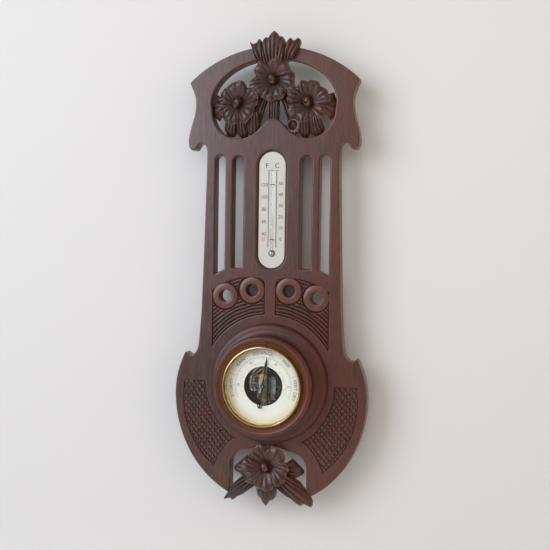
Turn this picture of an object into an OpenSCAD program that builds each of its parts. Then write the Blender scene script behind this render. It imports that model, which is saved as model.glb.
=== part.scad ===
// Carved wall barometer with a thermometer, in millimetres.
// Inside the modules the drawing frame is x right, y up from the shoulder line, z forward from the wall.
// hang() turns that into the part's frame: X right, +Y into the wall, Z up, origin at the hanger eye.

/* [Backboard] */
// Height of the hanger eye above the shoulder line
eye_height = 381; // [379:1:383]
// Thickness of the backboard
board_t = 17; // [15:1:20]
// Half width of the round lower body
body_half_width = 125; // [115:1:130]
// Depth of the gouged lines in the front
gouge_depth = 1.2; // [0.5:0.1:2]
// Width of one gouged line
gouge_width = 1.6; // [1:0.1:3]
// Distance between the arc lines above the dial
arc_pitch = 4.2; // [3:0.1:6]
// Distance between the crossing lines of the scale pattern
lattice_pitch = 8.5; // [6:0.5:15]
// Angle of the crossing lines
lattice_angle = 38; // [25:1:60]

/* [Pierced openings] */
// Half width of the two inner slots
inner_slot_half = 7.35; // [5:0.05:9]
// Half width of the two outer slots
outer_slot_half = 6.75; // [5:0.05:9]
// Radius of the holes in the raised discs
disc_hole_r = 8; // [5:0.5:10]
// Radius of the raised discs
disc_r = 17; // [14:0.5:18]

/* [Dial and case] */
// Height of the dial centre from the shoulder line
dial_y = -35; // [-38:1:-32]
// Outer radius of the movement case
case_r = 48.6; // [47:0.1:49]
// Wall of the movement case
case_wall = 0.8; // [0.6:0.1:1.2]
// Distance of the dial face from the wall
dial_face = 44.5; // [43:0.5:46]
// Radius of the window in the middle of the dial
window_r = 24.7; // [22:0.1:27]
// Distance of the bezel's front edge from the wall
bezel_front = 57; // [56:0.5:58]
// Inner radius of the bezel's front lip, which holds the glass
bezel_lip_r = 47.9; // [47.5:0.1:48.2]
// Thickness of the front glass
glass_t = 2; // [1.5:0.5:3]
// Directions of the three bezel pins
pin_angles = [85, 205, 325]; // three angles, 0 is to the right

/* [Movement] */
// Direction of the indicator hand, clockwise from the top
hand_angle = 8; // [-75:1:75]
// Length of the hand from the arbor to its tip
hand_length = 37; // [34:1:40]
// Length of the hand's tail
tail_length = 28; // [24:1:30]
// Radius of the arbors
arbor_r = 0.9; // [0.8:0.05:1.2]
// Running clearance of an arbor in its hole
run_gap = 0.05; // [0.02:0.01:0.1]
// Half width of the bridge and the cock that carry the hand's arbor
bridge_half = 3.3; // [3:0.1:4.5]
// Radius of the vacuum capsule
capsule_r = 27; // [24:0.5:28]
// Number of rings pressed into the capsule
capsule_rings = 4; // [3:1:5]
// Radius of the pulley under the hand
pulley_r = 1.2; // [1:0.1:1.6]
// Turns of the hairspring
hair_turns = 5; // [3:1:7]

/* [Thermometer] */
// Half width of the scale plate
scale_half = 17; // [15:0.5:18]
// Height of the centre of the plate's lower round end
scale_low = 127.3; // [125:0.1:130]
// Height of the centre of the plate's upper round end
scale_high = 239.7; // [237:0.1:242]
// Radius of the glass tube
tube_r = 1.6; // [1.2:0.1:2]
// Radius of the bulb
bulb_r = 3.8; // [3:0.1:4.2]
// Heights of the two staples over the tube
staple_heights = [146.4, 215.5]; // two heights

/* [Carvings] */
// Radius of the middle flower at the top
top_flower_r = 27; // [24:0.5:30]
// Radius of the two side flowers at the top
side_flower_r = 25; // [22:0.5:28]
// Radius of the lower flower
low_flower_r = 28; // [25:0.5:30]
// Petals of a flower
petals = 5; // [5:1:6]

/* [Hidden] */
$fn = 64;
clear = 0.02;
case_in = case_r - case_wall;
bore_r = case_r + 0.1;
glass_back = bezel_front - 2.2 - glass_t;
hole_r = arbor_r + run_gap;
wood = "#5a2e22";
wood_dark = "#3d1d15";
brass = "#b08d4c";
steel = "#6d7078";
cream = "#ece7d8";

// Which node to show

// ---- frame and curve helpers ----

module hang() translate([0, 0, -eye_height]) rotate([90, 0, 0]) children();
module at_dial() translate([0, dial_y, 0]) children();
module plate(z0, z1) translate([0, 0, z0]) linear_extrude(z1 - z0) children();
module disc(x, y, z0, z1, r) translate([x, y, z0]) cylinder(h = z1 - z0, r = r);
module ring(x, y, z0, z1, r_out, r_in) difference() {
    disc(x, y, z0, z1, r_out);
    disc(x, y, z0 - 1, z1 + 1, r_in);
}
module block(x0, x1, y0, y1, z0, z1) translate([x0, y0, z0]) cube([x1 - x0, y1 - y0, z1 - z0]);
module both_sides() {
    children();
    mirror([1, 0, 0]) children();
}
// A bar with two round ends, from y0 to y1 between the end centres.
module stadium(r, y0, y1, z0, z1) {
    disc(0, y0, z0, z1, r);
    disc(0, y1, z0, z1, r);
    block(-r, r, y0, y1, z0, z1);
}
function arc(cx, cy, rx, ry, a0, a1, n) =
    [for (i = [0:n]) let (a = a0 + (a1 - a0) * i / n) [cx + rx * cos(a), cy + ry * sin(a)]];
function mirrored(p) = [for (i = [len(p) - 1:-1:0]) if (p[i][0] > 0.02) [-p[i][0], p[i][1]]];
function both(p) = concat(p, mirrored(p));
// Catmull-Rom curve through four points.
function bend(a, b, c, d, t) =
    0.5 * (2 * b + (c - a) * t + (2 * a - 5 * b + 4 * c - d) * t * t + (3 * b - a - 3 * c + d) * t * t * t);
function smooth(p, n) = concat(
    [for (i = [0:len(p) - 2]) for (k = [0:n - 1])
        bend(p[max(i - 1, 0)], p[i], p[i + 1], p[min(i + 2, len(p) - 1)], k / n)],
    [p[len(p) - 1]]);

// ---- outlines of the board ----

shoulder = [[112.3, 0], [110.2, -0.9], [107.6, -2.9], [104.5, -3.5], [101.4, -2.7], [98.9, -0.3],
    [97, 2.4], [95.4, 6.4], [94.4, 11], [93.6, 18]];
ear = [[85.6, 254], [85.9, 259.5], [87.4, 264.2], [90.6, 267.2], [94.6, 267.4], [98, 264.6],
    [100, 260.9], [102.9, 259], [106.3, 259.2], [109.2, 262], [110.6, 266.6], [110.8, 272],
    [109.9, 279], [108.2, 286], [106, 293.5], [103.8, 301], [102.2, 309], [101.5, 317],
    [102, 325], [104.3, 332.6], [107, 338.6], [109.6, 344.5]];
board_half = concat(
    arc(0, -52, body_half_width, 139, -90, 0, 36),
    arc(0, -52, body_half_width, 118.4, 3, 25, 7),
    smooth(shoulder, 3),
    [[93, 25], [91, 55], [89, 115], [87.7, 165], [85.9, 235]],
    smooth(ear, 3),
    arc(0, 228, 160.6, 160.6, 48.5, 90, 22));
opening_half = concat(
    smooth([[0, 299.8], [3, 299], [6.5, 296.6], [11.7, 292.3], [17, 286.8], [22, 281.8]], 3),
    arc(45, 308, 34.5, 34.5, 234, 356, 24),
    arc(0, 316, 81, 57, 3, 90, 26));
notch_half = concat(
    arc(0, -190.8, 75, 75, 90, 70, 5),
    arc(28, -143, 22, 22, 80, 0, 10),
    [[50, -200]]);
disc_panel = concat(
    arc(0, dial_y, 87, 87, 85.5, 29.1, 20),
    smooth([[76, 81], [68, 86.6], [60, 91], [52, 94], [44, 96.2], [34, 97.7], [25, 98],
        [16, 97.6], [9.5, 95.2], [6.8, 89]], 2));
scale_panel = concat(
    arc(0, dial_y, 84.5, 84.5, -0.7, -59.5, 20),
    arc(0, -167, 74.5, 74.5, 53, 17.2, 12),
    smooth([[76, -141.5], [85, -133], [97, -117], [107, -97], [112.5, -77], [114, -56],
        [112.5, -36]], 4));
disc_centres = [[24, 82], [59.3, 73.8]];

// ---- backboard ----

// Arc lines, the lines round the discs and the outline of the upper panel.
module arc_lines() intersection() {
    plate(board_t - gouge_depth, board_t + 1) polygon(disc_panel);
    difference() {
        for (k = [0:9])
            ring(0, dial_y, board_t - gouge_depth, board_t + 2,
                87 + gouge_width + k * arc_pitch, 87 + k * arc_pitch);
        for (c = disc_centres) disc(c[0], c[1], 0, 30, disc_r + 0.6);
    }
}
// Crossing lines of the scale-like pattern.
module lattice_lines() intersection() {
    plate(board_t - gouge_depth, board_t + 1) polygon(scale_panel);
    for (s = [-1, 1]) translate([85, -85, 0]) rotate([0, 0, s * lattice_angle])
        for (k = [-7:7])
            block(-90, 90, k * lattice_pitch - 0.5, k * lattice_pitch + 0.5, board_t - gouge_depth, 30);
}
// Sunk seat of the thermometer with its sloping edge.
module thermometer_seat() {
    r = scale_half + 1.3;
    stadium(r, scale_low, scale_high, board_t - 6, board_t + 2);
    for (y = [scale_low, scale_high]) translate([0, y, board_t - 2]) cylinder(h = 2, r1 = r, r2 = r + 2);
    translate([0, scale_high, 0]) rotate([90, 0, 0]) linear_extrude(scale_high - scale_low)
        polygon([[-r, board_t - 2], [r, board_t - 2], [r + 2, board_t], [-r - 2, board_t]]);
}
module inner_slot() translate([44.15, 0, 0]) {
    disc(0, 252 - inner_slot_half, -1, 30, inner_slot_half);
    block(-inner_slot_half, inner_slot_half, 109, 252 - inner_slot_half, -1, 30);
}
module outer_slot() translate([67.75, 0, 0]) {
    disc(0, 253 - outer_slot_half, -1, 30, outer_slot_half);
    plate(-1, 30) polygon([[-outer_slot_half, 107.5], [0, 104.6], [outer_slot_half, 100.3],
        [outer_slot_half, 253 - outer_slot_half], [-outer_slot_half, 253 - outer_slot_half]]);
}
module backboard() color(wood) hang() difference() {
    plate(0, board_t) polygon(both(board_half));
    plate(-1, board_t + 1) polygon(both(opening_half));
    plate(-1, board_t + 1) polygon(both(notch_half));
    both_sides() inner_slot();
    both_sides() outer_slot();
    thermometer_seat();
    both_sides() for (c = disc_centres) {
        disc(c[0], c[1], -1, 30, disc_hole_r);
        ring(c[0], c[1], board_t - gouge_depth, 30, disc_r, disc_r - 1.3);
    }
    both_sides() arc_lines();
    both_sides() lattice_lines();
    disc(0, dial_y, -1, 30, bore_r);
    block(-16, 16, 375, 387, -1, 1.5);
    disc(0, eye_height, 0, 6, 4.8);
    for (x = [-11, 11]) disc(x, eye_height, 0, 9, 1.4);
}

// ---- turned boss round the dial ----

boss_profile = concat(
    [[bore_r, board_t]],
    smooth([[76, 17], [75.8, 20], [74.4, 23], [71.5, 24.8], [68, 25.2]], 3),
    smooth([[65.5, 25.4], [62.6, 27], [60.6, 30], [59.8, 34], [60, 38], [61, 42], [62.3, 45.5],
        [63, 48.5], [62.8, 51], [61.4, 53.2], [59.2, 54.2], [57, 53.6], [55.2, 52], [54, 51]], 3),
    [[50, 51], [50, 47.4], [bore_r, 47.4]]);
module pin_holes(z0, z1, r) for (a = pin_angles) rotate([0, 0, a]) disc(52, 0, z0, z1, r);
module movement_boss() color(wood) hang() at_dial() difference() {
    rotate_extrude($fn = 96) polygon(boss_profile);
    pin_holes(41, 60, 0.6);
}

// ---- carvings ----

// A flower: thick petals that rise outwards from a round hub, and a domed bud.
function petal_half(r) = smooth([[0, 2.6], [r * 0.26, r * 0.2], [r * 0.52, r * 0.36], [r * 0.74, r * 0.4],
    [r * 0.91, r * 0.3], [r, r * 0.14], [r * 0.96, 0]], 3);
module petal(r) plate(0, 3.6) polygon(concat([for (p = petal_half(r)) [p[0], -p[1]]],
    [for (i = [len(petal_half(r)) - 2:-1:0]) petal_half(r)[i]]));
module flower(r, bud) {
    for (k = [0:petals - 1]) rotate([0, 0, 90 + k * 360 / petals]) translate([1, 0, 1.4])
        rotate([0, -13 - (k % 2) * 2, 0]) petal(r);
    cylinder(h = 6.5, r = r * 0.3);
    translate([0, 0, 6.5]) sphere(r = bud);
}
// Straight-sided grooves that fan out from near a leaf's foot; subtracted from the blade.
module grooves(ends, foot, z, w) for (e = ends) {
    along = (e - foot) / norm(e - foot);
    side = w * [-along[1], along[0]];
    start = foot + 6 * along;
    plate(z - gouge_depth, z + 2) polygon([start - 0.3 * side, e - side, e + side, start + 0.3 * side]);
}
module crest_leaf_spray() color(wood_dark) hang() difference() {
    plate(board_t, board_t + 7) polygon([[-6, 376.5], [8, 376.5], [13, 378], [24, 381], [38, 385],
        [36, 389], [32.5, 396], [27.5, 394], [22, 397], [17.5, 392], [16, 397], [12, 400],
        [7.5, 402], [1.7, 406], [-4.5, 403], [-9, 399], [-12, 396.5], [-14, 392], [-18, 397],
        [-24, 392.5], [-30, 394], [-33, 388], [-38, 384], [-24, 381], [-12, 378]]);
    grooves([[-9, 403], [-2.6, 408], [4.6, 408], [10.4, 404]], [1, 370], board_t + 7, 0.9);
    grooves([[22, 400], [30, 396], [38, 391]], [12, 374], board_t + 7, 0.9);
    grooves([[-20, 400], [-27, 397], [-35, 391]], [-10, 374], board_t + 7, 0.9);
    grooves([[16, 402]], [8, 371], board_t + 7, 0.9);
    grooves([[-16, 402]], [-8, 371], board_t + 7, 0.9);
}
module crest_flower_centre() color(wood_dark) hang() translate([0, 347, board_t])
    rotate([0, 0, 6]) flower(top_flower_r, 6.4);
module crest_flower_left() color(wood_dark) hang() translate([-47, 317, board_t - 5])
    rotate([0, 0, 24]) flower(side_flower_r - 1, 5.6);
module crest_flower_right() color(wood_dark) hang() translate([47, 317, board_t - 5])
    rotate([0, 0, -24]) flower(side_flower_r - 1, 5.6);

// Openwork foliage inside the top opening: stem, branches behind the flowers and curled leaves.
module crest_foliage() color(wood_dark) hang() intersection() {
    plate(6, board_t) polygon(both(opening_half));
    union() {
        block(-5.5, 5.5, 290, 400, 8, 14);
        disc(0, 347, 8, board_t, 15);
        both_sides() {
            disc(47, 317, 6, board_t - 5, 15);
            translate([0, 335, 7]) rotate([0, 0, -19]) block(0, 88, -5, 5, 0, 5);
            ring(25, 290, 6, 12, 9, 5);
            translate([47, 317, 7]) rotate([0, 0, -90]) block(0, 60, -4, 4, 0, 5);
            translate([47, 317, 6.5]) rotate([0, 0, -128]) block(0, 60, -4, 4, 0, 5);
            translate([47, 317, 6.5]) rotate([0, 0, -52]) block(0, 60, -4, 4, 0, 5);
        }
    }
}
// Leaves under the lower flower; the web behind them fits between the sides of the notch.
module lower_leaf_spray() color(wood_dark) hang() {
    difference() {
        plate(board_t, board_t + 7) polygon([[-14, -140], [14, -140], [30, -148], [47, -153],
            [43, -160], [48, -164], [57, -176], [61, -182], [57, -188], [49, -186.5], [42, -184],
            [34, -178], [26, -173], [20, -176], [13, -184], [6, -188], [-2, -192], [-10, -187.5],
            [-17, -182], [-22, -175], [-28, -173], [-36, -179], [-43, -184], [-50, -187],
            [-58, -187.5], [-60, -181], [-56, -175], [-48, -164], [-43, -160], [-47, -153],
            [-30, -148]]);
        grooves([[-14, -190], [-6, -196], [3, -196], [10, -190]], [0, -152], board_t + 7, 1);
        grooves([[63, -180], [56, -192], [45, -190]], [16, -154], board_t + 7, 1);
        grooves([[-63, -180], [-56, -192], [-45, -190]], [-16, -154], board_t + 7, 1);
    }
    intersection() {
        plate(7, board_t) polygon(both(notch_half));
        union() {
            disc(0, -143, 7, board_t, 15);
            block(-60, 60, -165, -155, 7, 15);
            block(-6, 6, -143, -100, 7, 15);
        }
    }
}
module lower_flower() color(wood_dark) hang() translate([0, -141, board_t + 7])
    rotate([0, 0, 180]) flower(low_flower_r, 7);

// ---- bezel, glass and dial ----

bezel_profile = [[48.65, 47.5], [49.35, 47.5], [49.35, 51], [53.4, 51], [53.4, 51.4], [50.4, 51.5],
    [50, 52.1], [49.9, bezel_front - 1.7], [49.6, bezel_front - 0.7], [49.1, bezel_front - 0.15],
    [48.7, bezel_front], [bezel_lip_r + 0.35, bezel_front - 0.3], [bezel_lip_r, bezel_front - 1],
    [bezel_lip_r, bezel_front - 2.2], [48.5, bezel_front - 2.2], [48.5, 52], [48.65, 52]];
module bezel() color(brass) hang() at_dial() difference() {
    rotate_extrude($fn = 96) polygon(bezel_profile);
    pin_holes(49, 53, 0.6);
}
module bezel_pins() color(steel) hang() at_dial() {
    pin_holes(42, 51.8, 0.6);
    pin_holes(51.6, 52.2, 1.1);
}
module front_glass() color("#cfe0e6", 0.35) hang() at_dial()
    disc(0, 0, glass_back, glass_back + glass_t, 48.4);
module reflector_ring() color(brass) hang() at_dial() rotate_extrude($fn = 96)
    polygon([[46.6, dial_face], [47.75, dial_face], [47.75, glass_back], [47.2, glass_back]]);
module dial_plate() color(cream) hang() at_dial()
    ring(0, 0, dial_face - 0.8, dial_face, 47.7, window_r);

// ---- hand ----

module indicator_hand() color("#23304a") hang() at_dial() rotate([0, 0, -hand_angle]) difference() {
    union() {
        disc(0, 0, 45.8, 47.8, 2.6);
        plate(46.4, 47) polygon([[-1, 0], [-0.75, 24], [-1.5, 26.5], [0, hand_length], [1.5, 26.5],
            [0.75, 24], [1, 0], [0.7, 1 - tail_length], [-0.7, 1 - tail_length]]);
        intersection() {
            ring(0, -tail_length + 3, 46.4, 47, 3, 1.7);
            block(-4, 4, -tail_length - 2, -tail_length + 3.4, 46, 48);
        }
    }
    disc(0, 0, 40, 50, arbor_r);
}
module hand_arbor() color(steel) hang() at_dial() {
    disc(0, 0, 31.2, 48.4, arbor_r);
}
module chain_pulley() color(brass) hang() at_dial() difference() {
    union() {
        disc(0, 0, 32.9, 35.1, pulley_r);
        disc(0, 0, 32.9, 33.4, 2.4);
        disc(0, 0, 34.6, 35.1, 2.4);
    }
    disc(0, 0, 30, 40, arbor_r);
}

// ---- case and plates ----

screw_y = -37.5;
module movement_case() color(brass) hang() at_dial() difference() {
    disc(0, 0, 1.5, 51, case_r);
    disc(0, 0, 2.5, 60, case_in);
    disc(0, screw_y, 0, 10, 3.4);
}
module base_spacers() color(brass) hang() at_dial()
    for (a = [90, 210, 330]) rotate([0, 0, a]) disc(38, 0, 2.5, 4, 3);
module base_plate() color(brass) hang() at_dial() difference() {
    disc(0, 0, 4, 6, 44);
    disc(0, screw_y, 0, 10, 1.95 + run_gap);
}
module dial_pillars() color(brass) hang() at_dial()
    for (a = [60, 180, 300]) rotate([0, 0, a]) disc(40, 0, 6, dial_face - 0.8, 2);
module adjusting_screw() color(brass) hang() at_dial() difference() {
    union() {
        disc(0, screw_y, 0.4, 2, 3);
        disc(0, screw_y, 2, 12, 1.95);
    }
    block(-4, 4, screw_y - 0.4, screw_y + 0.4, 0, 1.2);
}

// ---- capsule, spring and levers ----

rings_top = [for (k = [0:2 * capsule_rings]) [8 + k * (capsule_r - 10) / (2 * capsule_rings),
    k % 2 == 0 ? 18 : 17]];
capsule_profile = concat(
    [[0, 6], [4, 6], [4, 8]],
    [for (p = rings_top) [p[0], 26 - p[1]]],
    [[capsule_r - 0.6, 11], [capsule_r, 12.4], [capsule_r, 13.6], [capsule_r - 0.6, 15]],
    [for (k = [len(rings_top) - 1:-1:0]) rings_top[k]],
    [[0, 18]]);
module vacuum_capsule() color("#b9b29a") hang() at_dial() rotate_extrude($fn = 96) polygon(capsule_profile);
module capsule_stem() color(steel) hang() at_dial() {
    disc(0, 0, 18, 19.6, 3.4);
    disc(0, 0, 19.6, 26.4, 1.8);
    translate([0, 0, 24.8]) cylinder(h = 1.6, r = 3.4, $fn = 6);
}
module mainspring_bridge() color("#3a3b3e") hang() at_dial() difference() {
    union() {
        both_sides() block(29.5, 36.5, -20, -10, 6, 24);
        block(-36.5, 36.5, -20, -10, 20, 24);
    }
    for (x = [-6, 6]) disc(x, -15, 21, 30, 1);
}
module mainspring() color("#8c9099") hang() at_dial() difference() {
    block(-11, 11, -20, 6, 24, 24.8);
    disc(0, 0, 20, 30, 1.9);
    for (x = [-6, 6]) disc(x, -15, 20, 30, 1);
}
module lever_bracket() color(brass) hang() at_dial() difference() {
    union() {
        block(-11, 11, -18, -12, 24.8, 25.8);
        both_sides() block(9.5, 11, -18, -12, 24.8, 30.2);
    }
    for (x = [-6, 6]) disc(x, -15, 20, 30, 1);
    translate([-15, -15, 28.5]) rotate([0, 90, 0]) cylinder(h = 30, r = hole_r);
}
module spring_screws() color(steel) hang() at_dial() for (x = [-6, 6]) {
    disc(x, -15, 21.2, 26, 1);
    disc(x, -15, 25.8, 27.2, 1.8);
}
rod_x = -25;
rod_y = 13;
module main_lever() color(brass) hang() at_dial() difference() {
    union() {
        translate([-12, -15, 28.5]) rotate([0, 90, 0]) cylinder(h = 24, r = arbor_r);
        translate([-2.6, -15, 28.5]) rotate([0, 90, 0]) cylinder(h = 5.2, r = 2);
        block(-2.6, 2.6, -15, 9, 28, 29);
        disc(0, 9, 28, 29, 2.6);
        translate([0, 9, 28]) rotate([0, 0, atan2(rod_y - 9, rod_x)]) translate([0, -1.8, 0])
            cube([norm([rod_x, rod_y - 9]), 3.6, 1]);
        disc(rod_x, rod_y, 28, 29, 1.9);
    }
    disc(rod_x, rod_y, 20, 40, 0.5);
}
module link_rod() color(steel) hang() at_dial() {
    disc(rod_x, rod_y, 24.6, 29.5, 0.5);
    disc(rod_x, rod_y, 29, 29.6, 0.9);
}
rock_x = -32;
rock_z = 26;
module along_y(x, z, y0, y1, r) translate([x, y1, z]) rotate([90, 0, 0]) cylinder(h = y1 - y0, r = r);
module rocker_bracket() color(brass) hang() at_dial() difference() {
    union() {
        block(-35, -29, 4, 22, 6, 7.5);
        for (y = [4, 20]) block(-35, -29, y, y + 2, 6, 29);
    }
    along_y(rock_x, rock_z, 0, 30, hole_r);
}
module rocker_arbor() color(steel) hang() at_dial() difference() {
    union() {
        along_y(rock_x, rock_z, 0.2, 24, arbor_r);
        along_y(rock_x, rock_z, 0.3, 3, 1.8);
        along_y(rock_x, rock_z, 11.5, 14.5, 1.8);
        block(rock_x, rod_x, 12, 14, rock_z - 0.6, rock_z + 0.6);
        disc(rod_x, rod_y, rock_z - 0.6, rock_z + 0.6, 2.1);
        block(rock_x - 0.6, rock_x + 0.6, 0.9, 2.2, rock_z, 34.7);
    }
    disc(rod_x, rod_y, 20, 30, 1.15);
}
// Chain from the rocker's long arm to the pulley.
module pull_chain() color(steel) hang() at_dial() translate([0, pulley_r + clear + 0.45, 34]) {
    translate([rock_x + 0.62, 0, 0]) rotate([0, 90, 0]) cylinder(h = -rock_x - 0.62, r = 0.22);
    for (k = [0:15]) translate([rock_x + 1 + k * 2, 0, 0]) rotate([0, 90, 0]) cylinder(h = 1.2, r = 0.45);
}
hair_points = concat(
    [for (i = [0:hair_turns * 24]) let (a = i * 15, r = 1.15 + 6.9 * i / (hair_turns * 24))
        [r * cos(a + 90), r * sin(a + 90)]],
    [for (i = [hair_turns * 24:-1:0]) let (a = i * 15, r = 1.4 + 6.9 * i / (hair_turns * 24))
        [r * cos(a + 90), r * sin(a + 90)]]);
module hairspring() color("#39425e") hang() at_dial() {
    plate(35.7, 36.2) polygon(hair_points);
    disc(0, 8.6, 35.5, 37, 0.7);
}

// ---- bridge over the hand arbor ----

module bridge_pillars() color(brass) hang() at_dial() for (y = [-31, 31]) disc(0, y, 6, 31.5, 2.6);
module arbor_cock() color(brass) hang() at_dial() difference() {
    stadium(bridge_half, -31, 31, 31.5, 32.5);
    disc(0, 0, 30, 40, hole_r);
}
module bridge_spacers() color(brass) hang() at_dial() for (y = [-31, 31]) disc(0, y, 32.5, 37, 2.6);
module arbor_bridge() color(brass) hang() at_dial() difference() {
    stadium(bridge_half, -31, 31, 37, 38.6);
    disc(0, 0, 30, 40, hole_r);
}
module bridge_bush() color(brass) hang() at_dial() difference() {
    disc(-1.6, 10.6, 38.6, 41, 4.6);
    block(-3.5, 0.3, 8.7, 12.5, 39.4, 45);
}
module bridge_screws() color(brass) hang() at_dial() for (y = [-31, -18, 31]) difference() {
    disc(0, y, 38.6, 40, 2);
    block(-3, 3, y - 0.3, y + 0.3, 39.4, 41);
}

// ---- thermometer ----

tube_x = 0.6;
tube_z = 15;
bulb_y = 129;
module tube_body(extra) {
    translate([tube_x, bulb_y, tube_z]) rotate([-90, 0, 0]) cylinder(h = 106, r = tube_r + extra);
    translate([tube_x, bulb_y + 106, tube_z]) sphere(r = tube_r + extra);
}
module thermometer_plate() color(cream) hang() difference() {
    stadium(scale_half, scale_low, scale_high, board_t - 6, board_t - 3);
    tube_body(clear);
    disc(tube_x, bulb_y, 0, 30, 4.5);
    for (y = staple_heights, x = [-2.3, 2.3]) disc(tube_x + x, y, board_t - 5, 30, 0.4);
}
module thermometer_tube() color("#dfe8ea", 0.4) hang() difference() {
    union() {
        tube_body(0);
        translate([tube_x, bulb_y, tube_z]) sphere(r = bulb_r);
    }
    translate([tube_x, bulb_y, tube_z]) sphere(r = bulb_r - 0.6);
    translate([tube_x, bulb_y, tube_z]) rotate([-90, 0, 0]) cylinder(h = 102, r = 0.5);
}
module thermometer_liquid() color("#9a9da2") hang() {
    translate([tube_x, bulb_y, tube_z]) sphere(r = bulb_r - 0.62);
    translate([tube_x, bulb_y, tube_z]) rotate([-90, 0, 0]) cylinder(h = 46, r = 0.46);
}
module tube_staples() color(steel) hang() for (y = staple_heights) {
    translate([tube_x, y, tube_z]) rotate([90, 0, 0]) rotate_extrude(angle = 180)
        translate([2.3, 0]) circle(r = 0.4);
    for (x = [-2.3, 2.3]) disc(tube_x + x, y, board_t - 4.8, tube_z, 0.4);
}

// ---- hanger ----

module hanger_plate() color(brass) hang() difference() {
    block(-16, 16, 375, 387, 0, 1.5);
    disc(0, eye_height, -1, 5, 3.2);
    for (x = [-11, 11]) {
        disc(x, eye_height, -1, 5, 1.4);
        translate([x, eye_height, 0]) cylinder(h = 1.2, r1 = 2.6, r2 = 1.4);
    }
}
module hanger_screws() color(brass) hang() for (x = [-11, 11]) difference() {
    union() {
        translate([x, eye_height, 0]) cylinder(h = 1.2, r1 = 2.6, r2 = 1.4);
        disc(x, eye_height, 1, 8.5, 1.4);
    }
    block(x - 3, x + 3, eye_height - 0.3, eye_height + 0.3, -1, 0.5);
}

backboard();
movement_boss();
crest_foliage();
crest_leaf_spray();
crest_flower_centre();
crest_flower_left();
crest_flower_right();
lower_leaf_spray();
lower_flower();
bezel();
bezel_pins();
front_glass();
reflector_ring();
dial_plate();
indicator_hand();
hand_arbor();
chain_pulley();
movement_case();
base_spacers();
base_plate();
dial_pillars();
vacuum_capsule();
capsule_stem();
mainspring_bridge();
mainspring();
lever_bracket();
spring_screws();
main_lever();
link_rod();
rocker_bracket();
rocker_arbor();
pull_chain();
hairspring();
bridge_pillars();
arbor_cock();
bridge_spacers();
arbor_bridge();
bridge_bush();
bridge_screws();
adjusting_screw();
thermometer_plate();
thermometer_tube();
thermometer_liquid();
tube_staples();
hanger_plate();
hanger_screws();
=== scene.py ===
"""A carved wall barometer: pierced stained board, flower carvings, thermometer and open dial.

The file follows the object as it is put together: board, boss, flowers, leaves, bezel and glass,
dial, movement with its hand, thermometer, hanger, and last the room, the lights and the camera.
"""
import math

import bmesh
import bpy
import numpy as np
from mathutils import Matrix, Vector
from mathutils.geometry import tessellate_polygon


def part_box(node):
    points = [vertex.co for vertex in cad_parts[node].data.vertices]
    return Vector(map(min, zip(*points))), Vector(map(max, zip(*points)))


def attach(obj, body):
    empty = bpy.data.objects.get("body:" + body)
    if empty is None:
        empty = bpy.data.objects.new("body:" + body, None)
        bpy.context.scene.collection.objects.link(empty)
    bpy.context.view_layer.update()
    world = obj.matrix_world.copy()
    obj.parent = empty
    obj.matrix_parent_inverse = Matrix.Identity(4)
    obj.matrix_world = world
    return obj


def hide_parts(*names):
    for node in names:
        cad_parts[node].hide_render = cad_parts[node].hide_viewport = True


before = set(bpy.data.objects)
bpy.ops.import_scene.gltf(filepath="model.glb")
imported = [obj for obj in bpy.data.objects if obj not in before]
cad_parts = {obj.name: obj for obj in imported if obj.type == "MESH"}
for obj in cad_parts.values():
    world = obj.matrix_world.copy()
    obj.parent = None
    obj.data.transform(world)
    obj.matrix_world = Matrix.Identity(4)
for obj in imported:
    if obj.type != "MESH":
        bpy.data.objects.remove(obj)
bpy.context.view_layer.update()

# ----------------------------------------
# Backboard: one plank of stained hardwood, fretsawn to shape, its edges rounded with a rasp.
# Two panels of arc gouging and two of scale pattern are cut in the front with carving tools.
# ----------------------------------------

board_low, board_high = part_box("backboard")
dial_low, dial_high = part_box("dial_plate")
SHOULDER_Z = board_high.z - 0.3886        # the shoulder line, from which outlines are drawn
BOARD_T = -board_low.y * 1000             # mm, thickness of the plank
DIAL_Y = ((dial_low.z + dial_high.z) / 2 - SHOULDER_Z) * 1000   # mm, height of the dial centre


def arc(cx, cy, rx, ry, start, end, n):
    """n + 1 points of an ellipse about (cx, cy), from one angle to the other in degrees."""
    a = np.radians(np.linspace(start, end, n + 1))
    return np.c_[cx + rx * np.cos(a), cy + ry * np.sin(a)]


def smooth(points, n=4):
    """A Catmull-Rom curve: between two points it is a cubic whose ends follow the neighbours."""
    p = np.asarray(points, float)
    q = np.vstack([p[:1], p, p[-1:]])
    t = (np.arange(n) / n)[None, :, None]
    a, b, c, d = (q[k:len(q) - 3 + k, None] for k in range(4))
    curve = 0.5 * (2 * b + (c - a) * t + (2 * a - 5 * b + 4 * c - d) * t**2
                   + (3 * b - a - 3 * c + d) * t**3)
    return np.vstack([curve.reshape(-1, p.shape[1]), p[-1:]])


def even(points, step, closed=True):
    """The same line with points a fixed distance apart, found along its running length."""
    p = np.vstack([points, points[:1]]) if closed else np.asarray(points, float)
    s = np.r_[0, np.cumsum(np.linalg.norm(np.diff(p, axis=0), axis=1))]
    n = max(int(round(s[-1] / step)), 3)
    at = np.linspace(0, s[-1], n + 1)[:n if closed else n + 1]
    return np.column_stack([np.interp(at, s, p[:, k]) for k in range(p.shape[1])])


def mirrored(points):
    """A half outline and its mirror image, as one closed line."""
    keep = points[points[:, 0] > 0.05][::-1] * [-1, 1]
    return np.vstack([points, keep])


def turned_round(loop):
    """The same closed line, run the other way."""
    return loop[::-1]


def inward(loop):
    """Unit normals to the left of a closed line: into the wood for an outline or a reversed hole."""
    t = np.roll(loop, -1, 0) - np.roll(loop, 1, 0)
    n = np.c_[-t[:, 1], t[:, 0]]
    return n / np.linalg.norm(n, axis=1, keepdims=True)


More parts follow.
